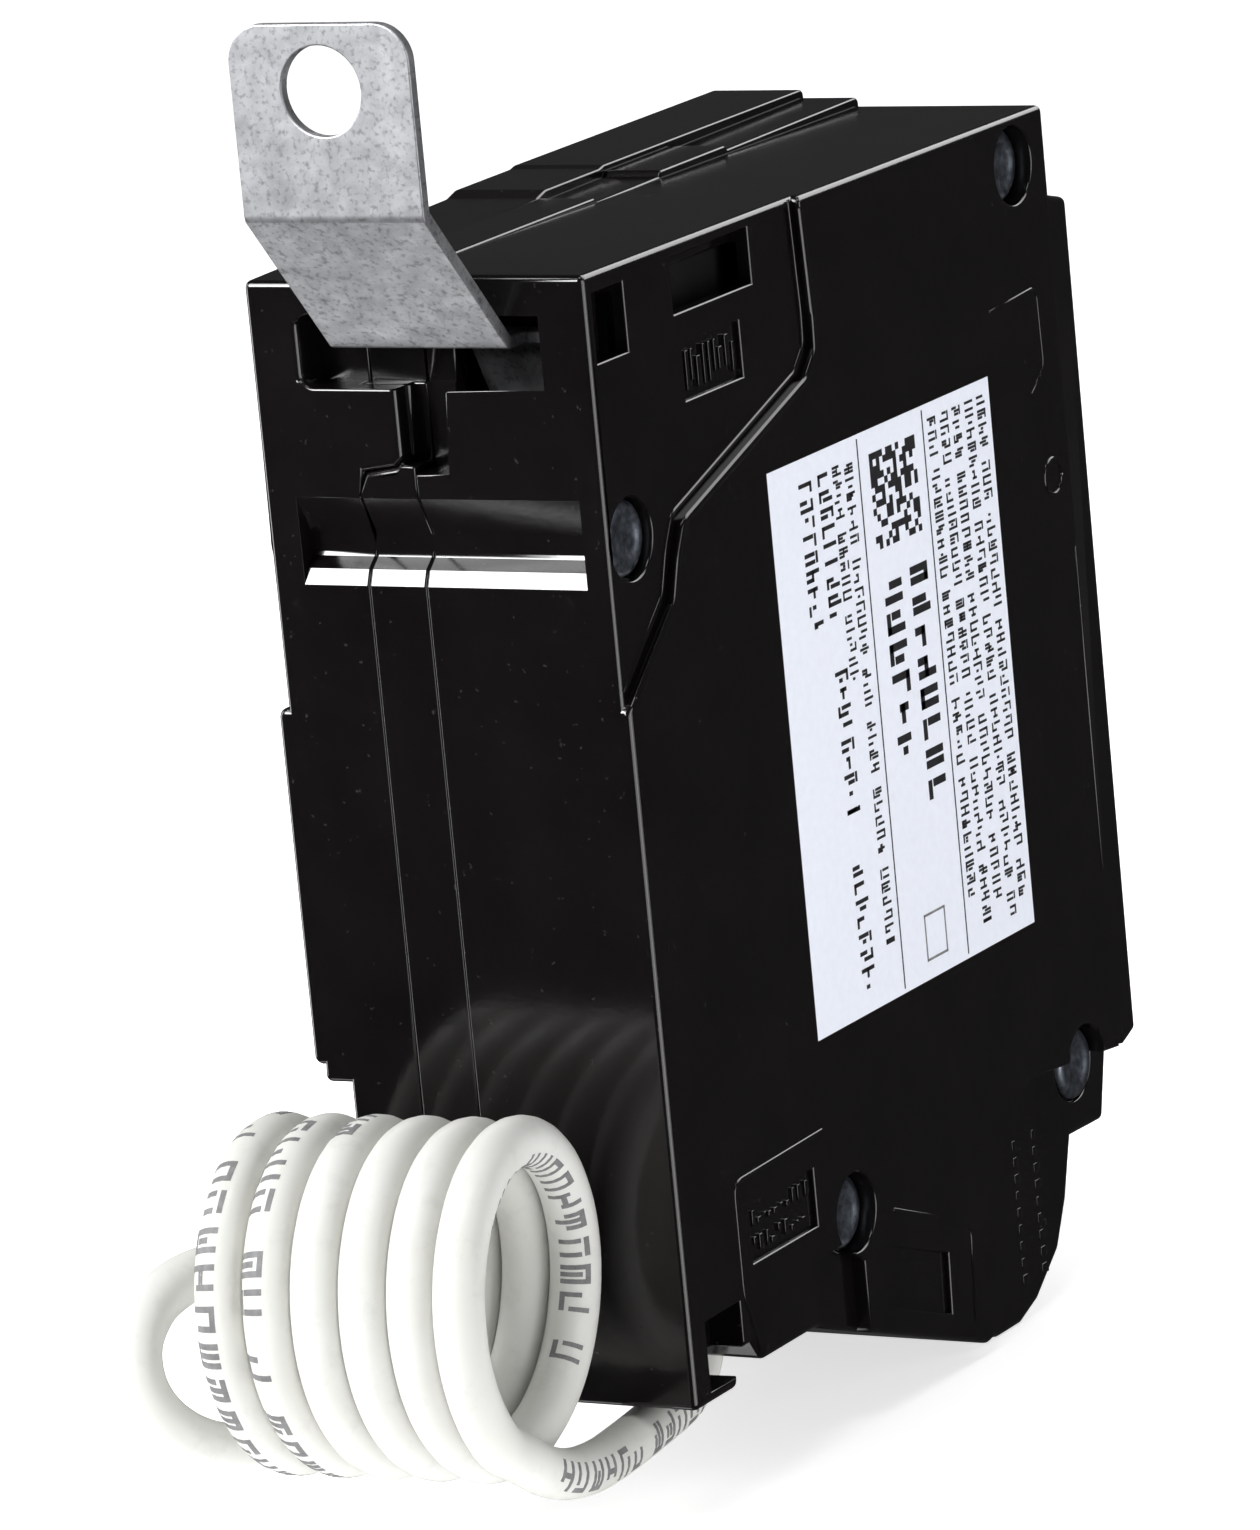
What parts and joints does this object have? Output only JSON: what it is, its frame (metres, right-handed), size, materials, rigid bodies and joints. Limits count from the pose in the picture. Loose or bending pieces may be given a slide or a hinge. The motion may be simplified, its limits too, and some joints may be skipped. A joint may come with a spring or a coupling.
{
  "type": "circuit breaker",
  "caption": "Single-pole bolt-on circuit breaker in a riveted black case, with toggle handle, test button and coiled white neutral lead.",
  "frame": {"origin": "centre of the line tab's bolt hole on its outer face", "axes": "+Z towards the line end, +Y from the base to the handle side, +X towards the label face"},
  "size_m": [0.03, 0.0966, 0.0964],
  "materials": {
    "case_black": "moulded, glossy",
    "rivet_steel": "plated, peened",
    "label_paper": "printed film",
    "front_label": "printed film",
    "tab_metal": "tin plated copper alloy, satin",
    "silver_contact": "silver alloy",
    "arc_steel": "plain",
    "arc_fibre": "vulcanised fibre",
    "handle_plastic": "moulded",
    "pin_steel": "ground",
    "arm_copper": "stamped copper",
    "mechanism_steel": "stamped",
    "spring_steel": "music wire",
    "bimetal": "rolled",
    "screw_brass": "turned",
    "braid_copper": "braided",
    "strap_copper": "stamped",
    "lug_metal": "zinc plated",
    "terminal_screw": "zinc plated",
    "board_laminate": "solder masked",
    "chip_black": "moulded",
    "capacitor_sleeve": "sleeved",
    "resistor_body": "chip parts",
    "varistor_epoxy": "dipped",
    "core_ferrite": "ferrite",
    "winding_copper": "enamelled",
    "button_plastic": "moulded",
    "led": "moulded",
    "light_pipe": "clear",
    "lead_insulation": "extruded",
    "lead_copper": "bare strands",
    "grommet": "moulded"
  },
  "bodies": {
    "case": {"case_left_shell": "case_black", "case_middle_frame": "case_black", "case_right_shell": "case_black", "case_rivets": "rivet_steel", "product_label": "label_paper", "front_label": "front_label", "line_terminal_tab": "tab_metal", "fixed_contact": "silver_contact", "arc_chute_plates": "arc_steel", "arc_chute_walls": "arc_fibre", "mechanism_pins": "pin_steel", "armature_pin": "pin_steel", "magnet_yoke": "mechanism_steel", "bimetal_bracket": "mechanism_steel", "solenoid_frame": "mechanism_steel", "main_spring": "spring_steel", "armature_spring": "spring_steel", "solenoid_spring": "spring_steel", "test_button_spring": "spring_steel", "test_contact_blade": "spring_steel", "bimetal_strip": "bimetal", "calibration_screw": "screw_brass", "flexible_braid": "braid_copper", "load_strap": "strap_copper", "neutral_bus": "strap_copper", "load_terminal_lug": "lug_metal", "neutral_terminal_lug": "lug_metal", "circuit_board": "board_laminate", "board_chips": "chip_black", "board_capacitors": "capacitor_sleeve", "board_resistors": "resistor_body", "surge_varistor": "varistor_epoxy", "sensor_core": "core_ferrite", "sensor_winding": "winding_copper", "solenoid_winding": "winding_copper", "status_led": "led", "light_pipe": "light_pipe", "pigtail_lead": "lead_insulation", "pigtail_coil": "lead_insulation", "pigtail_tail": "lead_insulation", "pigtail_bare_end": "lead_copper", "lead_grommet": "grommet"},
    "handle": {"handle": "handle_plastic"},
    "contact_arm": {"contact_arm": "arm_copper", "moving_contact": "silver_contact"},
    "trip_cradle": {"trip_cradle": "mechanism_steel"},
    "armature": {"armature": "mechanism_steel"},
    "solenoid_plunger": {"solenoid_plunger": "mechanism_steel"},
    "test_button": {"test_button": "button_plastic"},
    "load_clamp": {"load_clamp_plate": "lug_metal"},
    "load_screw": {"load_terminal_screw": "terminal_screw"},
    "neutral_clamp": {"neutral_clamp_plate": "lug_metal"},
    "neutral_screw": {"neutral_terminal_screw": "terminal_screw"}
  },
  "joints": [
    {"name": "handle_pivot", "type": "hinge", "parent": "case", "child": "handle", "pos_m": [0.0055, 0.061, -0.0378], "axis": [1, 0, 0], "range_deg": [0, 50]},
    {"name": "contact_arm_pivot", "type": "hinge", "parent": "case", "child": "contact_arm", "pos_m": [0.005, 0.0455, -0.0408], "axis": [1, 0, 0], "range_deg": [0, 16], "deforming": ["main_spring", "flexible_braid"]},
    {"name": "cradle_pivot", "type": "hinge", "parent": "case", "child": "trip_cradle", "pos_m": [0.0081, 0.055, -0.0568], "axis": [1, 0, 0], "range_deg": [-10, 0]},
    {"name": "armature_pivot", "type": "hinge", "parent": "case", "child": "armature", "pos_m": [0.0056, 0.0225, -0.0473], "axis": [1, 0, 0], "range_deg": [-3.5, 0], "stiffness_Nm_per_rad": 0.02},
    {"name": "solenoid_slide", "type": "slide", "parent": "case", "child": "solenoid_plunger", "axis": [0, 0, 1], "range_m": [0, 0.002], "stiffness_N_per_m": 60, "deforming": ["solenoid_spring"]},
    {"name": "test_button_slide", "type": "slide", "parent": "case", "child": "test_button", "axis": [0, -1, 0], "range_m": [0, 0.0012], "stiffness_N_per_m": 300, "deforming": ["test_button_spring"]},
    {"name": "load_clamp_slide", "type": "slide", "parent": "case", "child": "load_clamp", "axis": [0, -1, 0], "range_m": [0, 0.0024]},
    {"name": "load_screw_turn", "type": "hinge", "parent": "load_clamp", "child": "load_screw", "pos_m": [0.0055, 0.058, -0.0848], "axis": [0, -1, 0], "range_deg": [0, 1090]},
    {"name": "neutral_clamp_slide", "type": "slide", "parent": "case", "child": "neutral_clamp", "axis": [0, -1, 0], "range_m": [0, 0.0024]},
    {"name": "neutral_screw_turn", "type": "hinge", "parent": "neutral_clamp", "child": "neutral_screw", "pos_m": [-0.0068, 0.058, -0.0848], "axis": [0, -1, 0], "range_deg": [0, 1090]}
  ],
  "couplings": [
    {"joint": "contact_arm_pivot", "follows": "handle_pivot", "ratio": 0.32},
    {"joint": "load_screw_turn", "follows": "load_clamp_slide", "rad_per_m": 7913},
    {"joint": "neutral_screw_turn", "follows": "neutral_clamp_slide", "rad_per_m": 7913}
  ]
}
